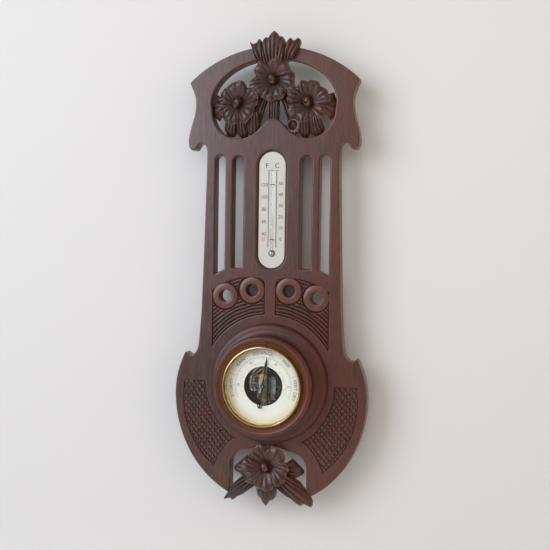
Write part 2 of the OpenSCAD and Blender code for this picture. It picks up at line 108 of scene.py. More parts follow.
def to_frame(x, y, z):
    """Drawing millimetres (right, up from the shoulder, forward from the wall) to the frame."""
    x, y, z = np.broadcast_arrays(x, y, z)
    return np.stack([x / 1000, -z / 1000, y / 1000 + SHOULDER_Z], -1)


def grid_faces(rows, columns, close_rows=False, close_columns=False, start=0):
    """Quads between neighbouring points of a rows x columns grid whose first index is start."""
    index = np.arange(rows * columns).reshape(rows, columns) + start
    if close_rows:
        index = np.vstack([index, index[:1]])
    if close_columns:
        index = np.hstack([index, index[:, :1]])
    return np.stack([index[:-1, :-1], index[1:, :-1], index[1:, 1:], index[:-1, 1:]], -1).reshape(-1, 4)


class Shell:
    """Collects grids and fills of one piece; values are kept per point for the material."""

    def __init__(self):
        self.points, self.faces, self.values, self.count = [], [], [], 0

    def add(self, points, faces, value=0.0):
        """Points (any shape, last axis xyz), faces indexed within them, and a value per point."""
        flat = np.asarray(points, float).reshape(-1, 3)
        self.points.append(flat)
        self.values.append(np.broadcast_to(np.asarray(value, float).reshape(-1) if np.ndim(value)
                                           else float(value), len(flat)))
        self.faces += (np.asarray(faces) + self.count).tolist()
        self.count += len(flat)

    def grid(self, points, value=0.0, close_rows=False, close_columns=False):
        """A grid of points with quads between its rows and columns."""
        rows, columns = points.shape[:2]
        self.add(points, grid_faces(rows, columns, close_rows, close_columns), value)

    def piece(self, name, sharp=35, outward=True):
        """The object at the origin: doubles merged, normals outward, edges over the angle sharp."""
        mesh = bpy.data.meshes.new(name)
        mesh.from_pydata(np.vstack(self.points).tolist(), [], self.faces)
        # The value per point goes to the material as "cut": above 0 a worn edge, below 0 painted shade in
        # cuts and hollows.
        mesh.attributes.new("cut", "FLOAT", "POINT").data.foreach_set("value", np.concatenate(self.values))
        if outward:
            work = bmesh.new()
            work.from_mesh(mesh)
            bmesh.ops.remove_doubles(work, verts=work.verts, dist=2e-6)
            bmesh.ops.recalc_face_normals(work, faces=work.faces)
            work.to_mesh(mesh)
            work.free()
        mesh.polygons.foreach_set("use_smooth", np.ones(len(mesh.polygons), bool))
        mesh.set_sharp_from_angle(angle=math.radians(sharp))
        mesh.update()
        found = bpy.data.objects.new(name, mesh)
        bpy.context.scene.collection.objects.link(found)
        return found


SHOULDER = [[112.3, 0], [110.2, -0.9], [107.6, -2.9], [104.5, -3.5], [101.4, -2.7], [98.9, -0.3],
            [97, 2.4], [95.4, 6.4], [94.4, 11], [93.6, 18]]
EAR = [[85.6, 254], [85.9, 259.5], [87.4, 264.2], [90.6, 267.2], [94.6, 267.4], [98, 264.6],
       [100, 260.9], [102.9, 259], [106.3, 259.2], [109.2, 262], [110.6, 266.6], [110.8, 272],
       [109.9, 279], [108.2, 286], [106, 293.5], [103.8, 301], [102.2, 309], [101.5, 317],
       [102, 325], [104.3, 332.6], [107, 338.6], [109.6, 344.5]]
notch_line = np.vstack([arc(0, -190.8, 75, 75, 90, 70, 5), arc(28, -143, 22, 22, 80, 0, 10)])
outline = np.vstack([
    notch_line, [[50, -179.2]],
    arc(0, -52, 125, 139, -65, 0, 36), arc(0, -52, 125, 118.4, 3, 25, 7),
    smooth(SHOULDER), [[93, 25], [91, 55], [89, 115], [87.7, 165], [85.9, 235]],
    smooth(EAR), arc(0, 228, 160.6, 160.6, 48.5, 90, 22)])
top_opening = np.vstack([
    smooth([[0, 299.8], [3, 299], [6.5, 296.6], [11.7, 292.3], [17, 286.8], [22, 281.8]], 3),
    arc(45, 308, 34.5, 34.5, 234, 356, 24), arc(0, 316, 81, 57, 3, 90, 26)])
inner_slot = np.vstack([[[51.5, 109.6], [51.5, 244.6]], arc(44.15, 244.65, 7.35, 7.35, 0, 180, 14),
                        [[36.8, 109.6]]])
outer_slot = np.vstack([[[74.5, 100.8], [74.5, 246.2]], arc(67.75, 246.25, 6.75, 6.75, 0, 180, 14),
                        [[61, 107.9], [67.75, 105]]])
DISCS = [(24, 82), (59.3, 73.8)]
DISC_R, DISC_HOLE_R = 17.4, 8
ARC_R, ARC_PITCH = 87, 4.2
disc_sides = [arc(0, DIAL_Y, ARC_R, ARC_R, 85.5, 29.1, 40),
              smooth([[6.8, 89], [9.5, 95.2], [16, 97.6], [25, 98], [34, 97.7], [44, 96.2], [52, 94],
                      [60, 91], [68, 86.6], [76, 81]])]
scale_sides = [arc(0, DIAL_Y, 84.5, 84.5, -0.7, -59.5, 40),
               smooth([[112.5, -36], [114, -56], [112.5, -77], [107, -97], [97, -117], [85, -133],
                       [71, -145]])]
scale_foot = arc(0, -167, 74.5, 74.5, 54.2, 17.2, 12)
disc_panel = np.vstack([disc_sides[0], disc_sides[1][::-1]])
scale_panel = np.vstack([scale_sides[0], scale_foot[1:-1], scale_sides[1][::-1]])
SEAT_R = 18.3
seat_low, seat_high = 127.3, 239.7
seat = np.vstack([arc(0, seat_high, SEAT_R, SEAT_R, 0, 180, 24),
                  arc(0, seat_low, SEAT_R, SEAT_R, 180, 360, 24)])
dial_hole = arc(0, DIAL_Y, 48.7, 48.7, 0, 360, 90)[:-1]

EDGE = 1.7                       # mm, radius that the rasp and wear leave on the edges
quarter = np.radians(np.linspace(90, 0, 7))
round_front = np.c_[EDGE - EDGE * np.cos(quarter), BOARD_T - EDGE + EDGE * np.sin(quarter)]
through_edge = np.vstack([[[EDGE + 1.2, BOARD_T], [EDGE + 0.5, BOARD_T]], round_front,
                          [[0, 0.6], [0.6, 0], [1.2, 0]]])
# Colour values along each edge profile: above 0 a lighter worn edge, below 0 painted shade on the back edge,
# down the pocket walls and into the seat.
through_wear_and_shade = np.r_[0, 0, 0.15, 0.3, np.full(4, 0.45), 0.2, 0, -0.3, -0.3]
pocket_edge = np.array([[1.1, BOARD_T], [0.6, BOARD_T], [0.25, BOARD_T - 0.12], [0.05, BOARD_T - 0.4],
                        [0, BOARD_T - 1.7]])
pocket_wear_and_shade = np.array([0, 0, 0.7, 0, -1])
seat_edge = np.array([[2.6, BOARD_T], [2.1, BOARD_T], [1.8, BOARD_T - 0.2], [0.1, BOARD_T - 1.9],
                      [0, BOARD_T - 2.4], [0, BOARD_T - 6]])
seat_wear_and_shade = np.array([0, 0, 0.5, -0.4, -0.6, -1])


def edge_band(shell, loop, profile, wear_and_shade):
    """Carries an edge profile (inset into the wood, height) round a closed line; returns its first and
    last rows, where the flat faces join on."""
    side = inward(loop)
    ring = loop[None] + side[None] * profile[:, :1, None]
    points = to_frame(ring[..., 0], ring[..., 1], profile[:, 1:2])
    shell.grid(points, np.repeat(wear_and_shade, len(loop)), close_columns=True)
    return points[0], points[-1]


def fill(shell, loops):
    """A flat face bounded by the first closed line, with the others as its holes."""
    triangles = tessellate_polygon([[Vector(p) for p in loop] for loop in loops])
    shell.add(np.vstack(loops), triangles)


board = Shell()
STEP = 1.6
through = [even(mirrored(outline), STEP), turned_round(even(mirrored(top_opening), STEP)),
           turned_round(even(dial_hole, STEP))]
for side in (1, -1):
    for slot_line in (inner_slot, outer_slot):
        line = even(slot_line * [side, 1], STEP)
        through.append(turned_round(line) if side > 0 else line)
fronts, backs = [], []
for loop in through:
    front, back = edge_band(board, loop, through_edge, through_wear_and_shade)
    fronts.append(front)
    backs.append(back)
for side in (1, -1):
    for panel in (disc_panel, scale_panel):
        line = even(panel * [side, 1], 1.2)
        area = np.sum(line[:, 0] * np.roll(line[:, 1], -1) - np.roll(line[:, 0], -1) * line[:, 1])
        line = turned_round(line) if area > 0 else line
        fronts.append(edge_band(board, line, pocket_edge, pocket_wear_and_shade)[0])
    for centre in DISCS:
        hole = arc(centre[0] * side, centre[1], DISC_HOLE_R, DISC_HOLE_R, 360, 0, 48)[:-1]
        backs.append(to_frame(hole[:, 0], hole[:, 1], 0.0))
front, floor_ring = edge_band(board, turned_round(even(seat, 1.2)), seat_edge, seat_wear_and_shade)
fronts.append(front)
fill(board, fronts)
fill(board, backs)
fill(board, [floor_ring])
backboard = board.piece("board_blank")


def coons(low, high, left, right, rows, columns):
    """A grid between four border lines: the two rulings added, less the bilinear corner part."""
    def even_to(line, n):
        s = np.r_[0, np.cumsum(np.linalg.norm(np.diff(line, axis=0), axis=1))]
        return np.column_stack([np.interp(np.linspace(0, s[-1], n), s, line[:, k]) for k in range(2)])
    low, high = even_to(low, columns), even_to(high, columns)
    left, right = even_to(left, rows), even_to(right, rows)
    u, v = np.linspace(0, 1, columns)[None, :, None], np.linspace(0, 1, rows)[:, None, None]
    corners = (1 - u) * (1 - v) * low[0] + u * (1 - v) * low[-1] + (1 - u) * v * high[0] + u * v * high[-1]
    return (1 - v) * low[None] + v * high[None] + (1 - u) * left[:, None] + u * right[:, None] - corners


def border_distance(grid, loop):
    """Distance in mm from each grid point to the nearest point of a closed line."""
    line = even(loop, 0.5)
    flat = grid.reshape(-1, 2)
    near = np.concatenate([np.sqrt(((part[:, None] - line[None]) ** 2).sum(-1)).min(1)
                           for part in np.array_split(flat, 24)])
    return near.reshape(grid.shape[:2])


def valley(distance, width):
    """A V-shaped cut of depth 1 at distance 0 that fades out at the width."""
    return np.clip(1 - distance / width, 0, 1)


GOUGE = 1.5                      # mm, depth of the carved lines


def arc_height(g):
    """Height of the arc gouging: a scooped valley on each circle about the dial, a ring round each disc."""
    r = np.hypot(g[..., 0], g[..., 1] - DIAL_Y)
    wander = 0.25 * np.sin(g[..., 0] * 0.31 + g[..., 1] * 0.17)
    line = np.abs((r - ARC_R + wander) / ARC_PITCH - np.round((r - ARC_R + wander) / ARC_PITCH)) * ARC_PITCH
    cut = valley(line, 1.2)
    for x, y in DISCS:
        d = np.hypot(g[..., 0] - x, g[..., 1] - y)
        cut = np.where(d < DISC_R + 1.6, valley(np.abs(d - DISC_R), 1.3), cut)
    return np.maximum(cut, valley(border_distance(g, disc_panel), 1.5))


def scale_height(g):
    """Height of the scale pattern: two sets of V cuts cross, and each scale slopes down to one side."""
    turn = math.radians(40)
    pitch = 5.6
    wander = 0.5 * np.sin(g[..., 0] * 0.21 + 1.3) + 0.4 * np.sin(g[..., 1] * 0.19)
    a = (g[..., 0] * math.cos(turn) + g[..., 1] * math.sin(turn) + wander) / pitch
    b = (g[..., 0] * math.cos(turn) - g[..., 1] * math.sin(turn) - wander) / pitch
    cut = 0.9 * np.maximum(valley(np.abs(a - np.round(a)) * pitch, 1.05),
                           valley(np.abs(b - np.round(b)) * pitch, 1.05))
    slope = 0.12 * (a - np.floor(a) + b - np.floor(b))
    field = np.maximum(cut, slope)
    return np.maximum(field, valley(border_distance(g, scale_panel), 1.2))


def carved_panel(name, grid, height, side, discs=()):
    """A panel's front surface at its cut depth; points inside a disc move out to its rim."""
    g = grid.copy()
    rows, columns = g.shape[:2]
    inside = np.zeros((rows, columns), bool)
    for x, y in discs:
        d = np.hypot(g[..., 0] - x, g[..., 1] - y)
        near = d < DISC_R
        inside |= near
        push = np.where(near, DISC_R / np.maximum(d, 1e-6), 1)
        g = np.stack([x + (g[..., 0] - x) * push, y + (g[..., 1] - y) * push], -1)
    depth = height(g)
    quads = grid_faces(rows, columns)
    quads = quads[~inside.reshape(-1)[quads].all(1)]
    shell = Shell()
    # Minus the depth of each cut is kept per point, so deeper cuts are painted darker as shade.
    shell.add(to_frame(g[..., 0] * side, g[..., 1], BOARD_T - GOUGE * depth),
              quads if side < 0 else quads[:, ::-1], -depth.reshape(-1))
    for x, y in discs:
        q = np.radians(np.linspace(0, 90, 5))
        profile = np.vstack([[[DISC_R, -GOUGE], [DISC_R - 1.2, -0.25], [DISC_R - 1.7, 0]],
                             np.c_[DISC_HOLE_R + 1.2 - 1.2 * np.sin(q), -1.2 + 1.2 * np.cos(q)],
                             [[DISC_HOLE_R, -BOARD_T]]])
        # The disc rim is paler where worn on its rounded edge, and painted dark as shade in its groove and
        # down its hole.
        wear_and_shade = np.r_[-1, -0.2, 0.5, 0.3, 0.8, 1, 0.8, 0.3, -0.8]
        a = np.radians(np.arange(0, 360, 5))
        points = to_frame((x + profile[:, :1] * np.cos(a)) * side, y + profile[:, :1] * np.sin(a),
                          BOARD_T + profile[:, 1:])
        rim = grid_faces(len(profile), len(a), close_columns=True)
        shell.add(points, rim if side > 0 else rim[:, ::-1], np.repeat(wear_and_shade, len(a)))
    return shell.piece(name, sharp=60, outward=False)


disc_grid = coons(disc_sides[0], disc_sides[1], np.array([disc_sides[0][0], [6.8, 89]]),
                  np.array([disc_sides[0][-1], [76, 81]]), 170, 170)
scale_grid = coons(scale_sides[0], scale_sides[1], np.array([[84.5, -36], [112.5, -36]]),
                   scale_foot, 110, 260)
panels = []
for side, word in ((1, "right"), (-1, "left")):
    panels.append(carved_panel(f"arc_panel_{word}", disc_grid, arc_height, side, DISCS))
    panels.append(carved_panel(f"scale_panel_{word}", scale_grid, scale_height, side))


def linear(code, alpha=1.0):
    """An sRGB hex colour as the linear values that the shader takes."""
    c = np.array([int(code[k:k + 2], 16) for k in (1, 3, 5)]) / 255
    c = np.where(c <= 0.04045, c / 12.92, ((c + 0.055) / 1.055) ** 2.4)
    return (*c.tolist(), alpha)


def add(tree, kind, links=None, inputs=None, stops=(), **settings):
    """Adds a shader node: settings are its properties, inputs its unlinked values (colours as hex), links
    what feeds it, and stops the places and hex colours along its ramp."""
    n = tree.nodes.new("ShaderNode" + kind)
    for key, value in settings.items():
        setattr(n, key, value)
    for key, value in (inputs or {}).items():
        n.inputs[key].default_value = linear(value) if isinstance(value, str) else value
    for k, (place, code) in enumerate(stops):
        element = n.color_ramp.elements[k] if k < 2 else n.color_ramp.elements.new(place)
        element.position, element.color = place, linear(code)
    for key, source in (links or {}).items():
        tree.links.new(source, n.inputs[key])
    return n


def material(name):
    """A new material with an empty tree; returns it, its tree and the place of a point in metres."""
    made = bpy.data.materials.new(name)
    made.use_nodes = True
    made.node_tree.nodes.clear()
    place = add(made.node_tree, "TexCoord").outputs["Object"]
    return made, made.node_tree, place


def stained_wood(name, tones, red, worn, roughness, coat):
    """Stained hardwood under old shellac: fine upright grain, short dark pores, patchy stain that is redder
    below, a painted warm light that reddens it towards +X, edges rubbed back to a lighter brown, and painted
    shade that darkens the cuts and hollows. Grain lines are 1 mm apart, pores 0.3 mm wide."""
    made, tree, place = material(name)
    along = add(tree, "Mapping", {"Vector": place}, inputs={"Scale": (1, 1, 0.06)}).outputs[0]
    grain = add(tree, "TexNoise", {"Vector": along},
                inputs={"Scale": 420, "Detail": 5, "Roughness": 0.65, "Distortion": 0.35})
    pores = add(tree, "TexNoise", {"Vector": along}, inputs={"Scale": 1500, "Detail": 2, "Roughness": 0.6})
    pore_mask = add(tree, "MapRange", {"Value": pores.outputs["Fac"]},
                    inputs={"From Min": 0.56, "From Max": 0.68})
    patch = add(tree, "TexNoise", {"Vector": place}, inputs={"Scale": 11, "Detail": 5, "Roughness": 0.6})
    stain = add(tree, "ValToRGB", {"Fac": grain.outputs["Fac"]},
                stops=list(zip((0.24, 0.52, 0.80), tones))).outputs["Color"]
    # Painted warm light: the stain turns redder towards +X, the side the warm bounce light falls on, and also
    # redder below.
    side = add(tree, "VectorMath", {0: place}, operation="DOT_PRODUCT", inputs={1: (1.3, 0, -0.25)})
    patches_and_painted_side_light = add(tree, "Math", {0: patch.outputs["Fac"], 1: side.outputs["Value"]}, operation="ADD")
    stain_and_painted_warmth = add(tree, "MapRange", {"Value": patches_and_painted_side_light.outputs[0]},
               inputs={"From Min": 0.47, "From Max": 0.74, "To Max": 0.85})
    toned = add(tree, "Mix", {0: stain_and_painted_warmth.outputs[0], 6: stain}, data_type="RGBA", inputs={7: red})
    # The per-point cut value: above 0 it rubs the wood towards the worn colour, below 0 it paints shade into
    # cuts and hollows.
    cut = add(tree, "Attribute", attribute_name="cut").outputs["Fac"]
    rub_noise = add(tree, "TexNoise", {"Vector": place}, inputs={"Scale": 130, "Detail": 4})
    rubbed = add(tree, "Math", {0: cut, 1: rub_noise.outputs["Fac"]}, operation="MULTIPLY", use_clamp=True)
    edged = add(tree, "Mix", {0: rubbed.outputs[0], 6: toned.outputs[2]}, data_type="RGBA",
                inputs={7: worn})
    # Painted shade: the lower the cut value, the nearer the colour goes to near-black brown.
    painted_shade = add(tree, "MapRange", {"Value": cut},
               inputs={"From Min": -0.15, "From Max": -0.95, "To Min": 0.0, "To Max": 0.7})
    with_painted_shade = add(tree, "Mix", {0: painted_shade.outputs[0], 6: edged.outputs[2]}, data_type="RGBA",
               inputs={7: "#120a09"})
    pored = add(tree, "Mix", {0: pore_mask.outputs[0], 6: with_painted_shade.outputs[2]}, data_type="RGBA",
                blend_type="MULTIPLY", inputs={7: "#8a7a78"})
    rough = add(tree, "MapRange", {"Value": patch.outputs["Fac"]},
                inputs={"From Min": 0.3, "From Max": 0.7, "To Min": roughness - 0.07,
                        "To Max": roughness + 0.1})
    height = add(tree, "Math", {0: grain.outputs["Fac"], 1: pore_mask.outputs[0]}, operation="SUBTRACT")
    bump = add(tree, "Bump", {"Height": height.outputs[0]}, inputs={"Strength": 0.35, "Distance": 0.00025})
    wave = add(tree, "Bump", {"Height": patch.outputs["Fac"], "Normal": bump.outputs[0]},
               inputs={"Strength": 0.35, "Distance": 0.0016})
    shader = add(tree, "BsdfPrincipled",
                 {"Base Color": pored.outputs[2], "Roughness": rough.outputs[0], "Normal": wave.outputs[0]},
                 inputs={"IOR": 1.5, "Coat Weight": coat, "Coat Roughness": 0.22, "Coat IOR": 1.5})
    add(tree, "OutputMaterial", {"Surface": shader.outputs[0]})
    return made


def dress(piece, made):
    """The piece shows this one material."""
    piece.data.materials.clear()
    piece.data.materials.append(made)
    return piece


def mount(piece, made, body="barometer", replaced=()):
    """Dresses a new piece, hangs it on its body and hides the CAD nodes it stands for."""
    dress(piece, made)
    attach(piece, body)
    if replaced:
        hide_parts(*replaced)
    return piece


# Board: thin shellac over brown stain, plum where it mirrors the sky; its rust red is stain in patches and
# below, and a painted warm light towards +X.
shellac_board = stained_wood("shellacked_stained_board", ["#27140f", "#46271d", "#5e3629"],
                             "#55220c", "#8a4a2f", 0.37, 0.45)
mount(backboard, shellac_board, replaced=["backboard"])
for panel in panels:
    mount(panel, shellac_board)

# ----------------------------------------
# Boss: a ring of the same wood turned on a lathe and glued over the bored hole, with a base
# moulding, a hollow and a rounded front whose inner lip is worn to a bright orange brown.
# ----------------------------------------

BOSS = np.vstack([
    smooth([[76, 17], [75.8, 20], [74.4, 23], [71.5, 24.8], [68, 25.2]], 6),
    smooth([[65.5, 25.4], [62.6, 27], [60.6, 30], [59.8, 34], [60, 38], [61, 42], [62.3, 45.5],
            [63, 48.5], [62.8, 51], [61.4, 53.2], [59.2, 54.2], [57, 53.6], [55.2, 52], [54, 51]], 5)])


def lathe(shell, profile, centre, segments=144, value=0.0, closed=False):
    """Turns a profile (radius, distance from the wall) about the axis through the centre."""
    a = np.linspace(0, 2 * np.pi, segments, endpoint=False)
    points = to_frame(centre[0] + profile[:, :1] * np.cos(a), centre[1] + profile[:, :1] * np.sin(a),
                      profile[:, 1:])
    wear_and_shade = np.repeat(value, segments) if np.ndim(value) else value
    shell.grid(points, wear_and_shade, close_rows=closed, close_columns=True)


DIAL = (0.0, DIAL_Y)
boss_profile = np.vstack([[[49.0, 17]], BOSS, [[50.6, 51], [50.1, 50.6], [50.1, 47.4], [49.0, 47.4]]])
lip = np.interp(boss_profile[:, 0], [49, 53, 56, 58.5], [0.9, 0.9, 0.7, 0.0]) * (boss_profile[:, 1] > 48)
# Painted shade in the hollow of the boss; the lip value is wear to amber.
painted_hollow_shade = -0.55 * np.exp(-((boss_profile[:, 1] - 31) / 5) ** 2) * (boss_profile[:, 0] < 66)
boss = Shell()
lathe(boss, boss_profile, DIAL, value=lip + painted_hollow_shade, closed=True)
# Boss: the same stain, worn by hands to amber round the bezel.
shellac_turned = stained_wood("shellacked_turned_wood", ["#2a1510", "#46251b", "#5c3326"],
                              "#5c2a18", "#80451f", 0.46, 0.2)
mount(boss.piece("turned_boss"), shellac_turned, replaced=["movement_boss"])

# ----------------------------------------
# Flowers: four blossoms of five petals, carved from thick blocks with gouges and glued on. The
# petals rise from a deep middle, part into ridges and roll over in a wavy rim round a coiled bud.
# ----------------------------------------

PETAL_T = 2.4                    # mm, thickness that is left at a petal's edge


def slab(shell, top, under, value):
    """A solid between two grids of the same size, closed by a wall round their border."""
    index = np.arange(top[..., 0].size).reshape(top.shape[:2])
    rim = np.r_[index[0, :-1], index[:-1, -1], index[-1, :0:-1], index[:0:-1, 0]]
    wall = np.stack([top.reshape(-1, 3)[rim], under.reshape(-1, 3)[rim]])
    # The underside is painted a little darker as shade.
    for surface, kept in ((top, value), (under, -0.3)):
        shell.grid(to_frame(surface[..., 0], surface[..., 1], surface[..., 2]), kept)
    shell.grid(to_frame(wall[..., 0], wall[..., 1], wall[..., 2]), close_columns=True)


def petal(shell, centre, radius, aim, base, cup, ridges, phase):
    """A petal in polar form about the flower's centre. Height climbs as a quarter sine from hub to rim, less
    a rolled edge, plus a cup across it and a wave along its rim; V cuts from the hub part the ridges."""
    u = np.linspace(-1, 1, 81)[None, :]
    v = np.linspace(0, 1, 34)[:, None]
    angle = np.radians(aim + 43 * (0.55 + 0.45 * np.sin(np.pi / 2 * np.minimum(1.7 * v, 1))) * u)
    reach = radius * (1 - 0.27 * np.abs(u) ** 2.7 - 0.06 * np.exp(-((u - 0.1) / 0.18) ** 2)
                      + 0.03 * np.sin(4.4 * u + phase) + 0.012 * np.sin(11 * u + 2 * phase))
    rho = 3 + (reach - 3) * v
    across = (u + 0.16 * np.sin(2.5 * v + phase)) * ridges / 2
    groove = valley(np.abs(across - np.round(across)), 0.26) * np.clip(2.6 * v - 0.5, 0, 1)
    roll = np.clip((v - 0.72) / 0.28, 0, 1) ** 2 + 0.6 * np.clip((np.abs(u) - 0.8) / 0.2, 0, 1) ** 2
    wave = v ** 2.5 * (1.9 * np.sin(4.4 * u + phase) + 0.8 * np.sin(9.3 * u + 2 * phase))
    z = (base + 9.0 * np.sin(np.pi / 2 * np.minimum(1.2 * v, 1)) + wave + cup * v * np.abs(u) ** 2
         - 2.4 * roll - 1.3 * groove)
    top = np.stack([centre[0] + rho * np.cos(angle), centre[1] + rho * np.sin(angle), z], -1)
    under = top - [0, 0, PETAL_T]
    under[..., 2] = np.minimum(under[..., 2], base + 6.5)
    # Colour values: the rim is paler worn wood, while the grooves and the deep middle near the hub are
    # painted dark as shade.
    rim = np.clip((v - 0.9) / 0.1, 0, 1) + 0 * u
    painted_shade = np.clip(1 - v / 0.5, 0, 1)
    slab(shell, top, under, np.clip(0.8 * rim - 0.8 * groove - 1.1 * painted_shade, -1, 1))


def bud(shell, centre, base, width, length, height, turn):
    """A coiled bud: half an ellipsoid whose height is cut by one spiral valley, flat underneath."""
    a = np.linspace(0, 2 * np.pi, 49)[:-1][None, :]
    q = np.linspace(0, 1, 22)[:, None]
    coil = a / (2 * np.pi) + 1.7 * q
    cut = valley(np.abs(coil - np.round(coil)), 0.22) * np.clip(5 * q, 0, 1)
    x, y = width * np.sin(q * np.pi / 2) * np.cos(a), length * np.sin(q * np.pi / 2) * np.sin(a)
    c, s = math.cos(turn), math.sin(turn)
    z = base + height * np.cos(q * np.pi / 2) - 2.6 * cut
    top = to_frame(centre[0] + c * x - s * y, centre[1] + s * x + c * y, z)
    foot = to_frame(centre[0] + 0 * a, centre[1] + 0 * a, base + 0 * a)
    # The top half of the bud is paler, and its spiral valley is painted dark as shade.
    shell.grid(np.vstack([top, foot]), np.r_[(0.35 * (q < 0.5) - cut).reshape(-1), 0 * a[0]],
               close_columns=True)


def flower(name, node, centre, radius, turn, base, lean, bud_turn):
    """Five petals that overlap by turns, and a bud; lean tips the whole flower about its middle."""
    shell = Shell()
    a = np.linspace(0, 2 * np.pi, 49)[:-1]
    ring = np.array([0, 1, 1, 0])[:, None] * radius * 0.5
    heights = np.array([base - 1, base - 1, base + 2.5, base + 2.5])[:, None]
    # The deep middle of the flower is painted dark as shade.
    shell.grid(to_frame(centre[0] + ring * np.cos(a), centre[1] + ring * np.sin(a), heights), -1.0,
               close_columns=True)
    for k, (lift, cup, ridges) in enumerate(((0.6, 2.4, 5), (3.6, -2.6, 3), (1.2, 1.6, 4), (4.0, -2.2, 5),
                                             (2.4, -1.4, 4))):
        petal(shell, centre, radius * (1 - 0.03 * (k % 3)), turn + 72 * k + 5 * math.sin(3 * k), base + lift,
              cup, ridges, 1.9 * k + turn)
    bud(shell, (centre[0] - 1.5, centre[1] + 0.5), base + 2, 5.8, 8.6, 11, bud_turn)
    for points in shell.points:
        points[:, 1] -= lean[0] * (points[:, 0] - centre[0] / 1000)
        points[:, 1] -= lean[1] * (points[:, 2] - centre[1] / 1000 - SHOULDER_Z)
    return mount(shell.piece(name, sharp=48), shellac_carved, replaced=[node])


# Carvings: a darker stain with a waxy shine on the high places and pale worn rims.
shellac_carved = stained_wood("shellacked_carved_wood", ["#211210", "#3d241f", "#58382f"],
                              "#522d21", "#a87a48", 0.38, 0.3)
flower("blossom_centre", "crest_flower_centre", (0.5, 346.5), 29.5, -9, 13.5, (0.0, 0.03), 0.35)
flower("blossom_left", "crest_flower_left", (-45.5, 318), 28.5, 20, 10.5, (0.12, 0.06), -0.3)
flower("blossom_right", "crest_flower_right", (45.5, 318), 28.5, 160, 10.5, (-0.12, 0.06), 0.3)
flower("blossom_lower", "lower_flower", (0, -140), 31, -20, 20.5, (0.0, -0.05), 0.5)

# ----------------------------------------
# Leaves: fans of gouged flutes above the top rail and under the lower flower, and curled leaves,
# a stem and one ring-shaped tendril that tie the flowers to the board inside the top opening.
# ----------------------------------------


def fan_leaf(shell, base, rim, flutes, low, heights):
    """A fluted leaf from a short base line to its lobed rim. Along it the top follows the parabola through
    three heights; across it V cuts part the flutes, and the rim and the sides are rounded over."""
    edge = even(smooth(rim, 3), 0.7, closed=False)
    u = np.linspace(0, 1, len(edge))[None, :]
    v = np.linspace(0, 1, 26)[:, None]
    foot = np.array(base[0]) + (np.array(base[1]) - base[0]) * u[..., None]
    flat = foot * (1 - v[..., None]) + edge[None] * v[..., None]
    bow = (heights[0] * 2 * (v - 0.5) * (v - 1) - heights[1] * 4 * v * (v - 1)
           + heights[2] * 2 * v * (v - 0.5))
    p = u * flutes + 0.06 * np.sin(4 * v)
    groove = valley(np.abs(p - np.round(p)), 0.30) * np.clip(1.15 - 0.5 * v, 0, 1)
    over = valley(1 - v, 0.07)
    z = np.maximum(bow - 1.7 * groove - 1.6 * over ** 2, low + 0.6)
    top = np.dstack([flat, z])
    under = np.dstack([flat, np.full(z.shape, float(low))])
    inner = (u > 0.5 / flutes) & (u < 1 - 0.5 / flutes)
    # The rolled rim is paler worn wood; the flutes' grooves are painted dark as shade.
    slab(shell, top, under, np.clip(0.55 * over - 0.95 * groove * inner, -1, 1))


def tendril(shell, centre, radius, thick, low, high):
    """A leaf curled into a ring: an oval section carried round a circle; it swells to one side, and there
    ridges cross its outer face."""
    a = np.linspace(0, 2 * np.pi, 73)[:-1][None, :]
    b = np.linspace(0, 2 * np.pi, 17)[:-1][:, None]
    swell = 0.5 + 0.5 * np.cos(a + 0.7)
    ridge = 0.7 * np.cos(14 * a) * np.clip(np.cos(b - 0.8), 0, 1) * swell
    r = radius + (thick * (0.7 + 0.7 * swell) + ridge) * np.cos(b)
    z = (low + high) / 2 + (high - low) / 2 * np.sin(b) + 1.5 * np.cos(a)
    # Paler on the ridges, and painted dark as shade between them.
    shell.grid(to_frame(centre[0] + r * np.cos(a), centre[1] + r * np.sin(a), z),
               np.clip(1.4 * ridge, -0.7, 0.7).reshape(-1), close_rows=True, close_columns=True)


spray = Shell()
fan_leaf(spray, [(-21, 369), (-10, 368)],
         [(-25, 382), (-30.5, 394), (-26.5, 391.5), (-22, 393), (-18, 397.5), (-13.5, 391), (-11, 381)],
         4, 15, (21, 24, 20.5))
fan_leaf(spray, [(11, 368), (25, 370)],
         [(14, 383), (17, 392), (22, 397.5), (26, 394), (32, 397), (35.5, 392), (33, 384), (29, 377)],
         5, 15, (21, 24, 20.5))
fan_leaf(spray, [(-10, 366), (12, 366)],
         [(-13.5, 382), (-13, 393), (-9.5, 398.5), (-6, 398), (-2.5, 403), (1.7, 406), (5.8, 403),
          (8.5, 399), (12, 399), (15.5, 393), (16, 382)],
         7, 15, (24, 27, 23.5))
mount(spray.piece("crest_leaves", sharp=48), shellac_carved, replaced=["crest_leaf_spray"])

# The leaves of the right half: base line, rim, flutes, underside, heights. The left half mirrors them.
CREST_HALF = [
    ([(5, 334), (13, 338)], [(19, 290), (25, 284), (34, 290), (38, 302)], 4, 6, (13, 12, 9)),
    ([(36, 300), (46, 299)], [(33, 283), (35, 277), (42, 274.5), (47, 279)], 4, 7, (17, 18, 11)),
    ([(48, 300), (58, 303)], [(49, 279), (54, 276), (61, 278), (65, 286)], 4, 7, (17, 18, 11)),
    ([(62, 312), (62, 324)], [(72, 296), (79, 303), (80.5, 316), (76, 330)], 4, 7, (16, 15, 10)),
    ([(4, 366), (10, 362)], [(7, 378), (14, 377), (21, 372)], 3, 7, (14, 14, 12))]
foliage = Shell()
fan_leaf(foliage, [(-6, 294), (6, 294)], [(-7.5, 326), (0, 328), (7.5, 326)], 4, 7, (17, 18.5, 16))
for side in (1, -1):
    for base, rim, flutes, low, heights in CREST_HALF:
        fan_leaf(foliage, np.array(base) * [side, 1], np.array(rim) * [side, 1], flutes, low, heights)
fan_leaf(foliage, [(-30, 306), (-19, 306)], [(-36, 285), (-31, 278), (-24, 279), (-18, 288)],
         4, 7, (18, 17, 12))
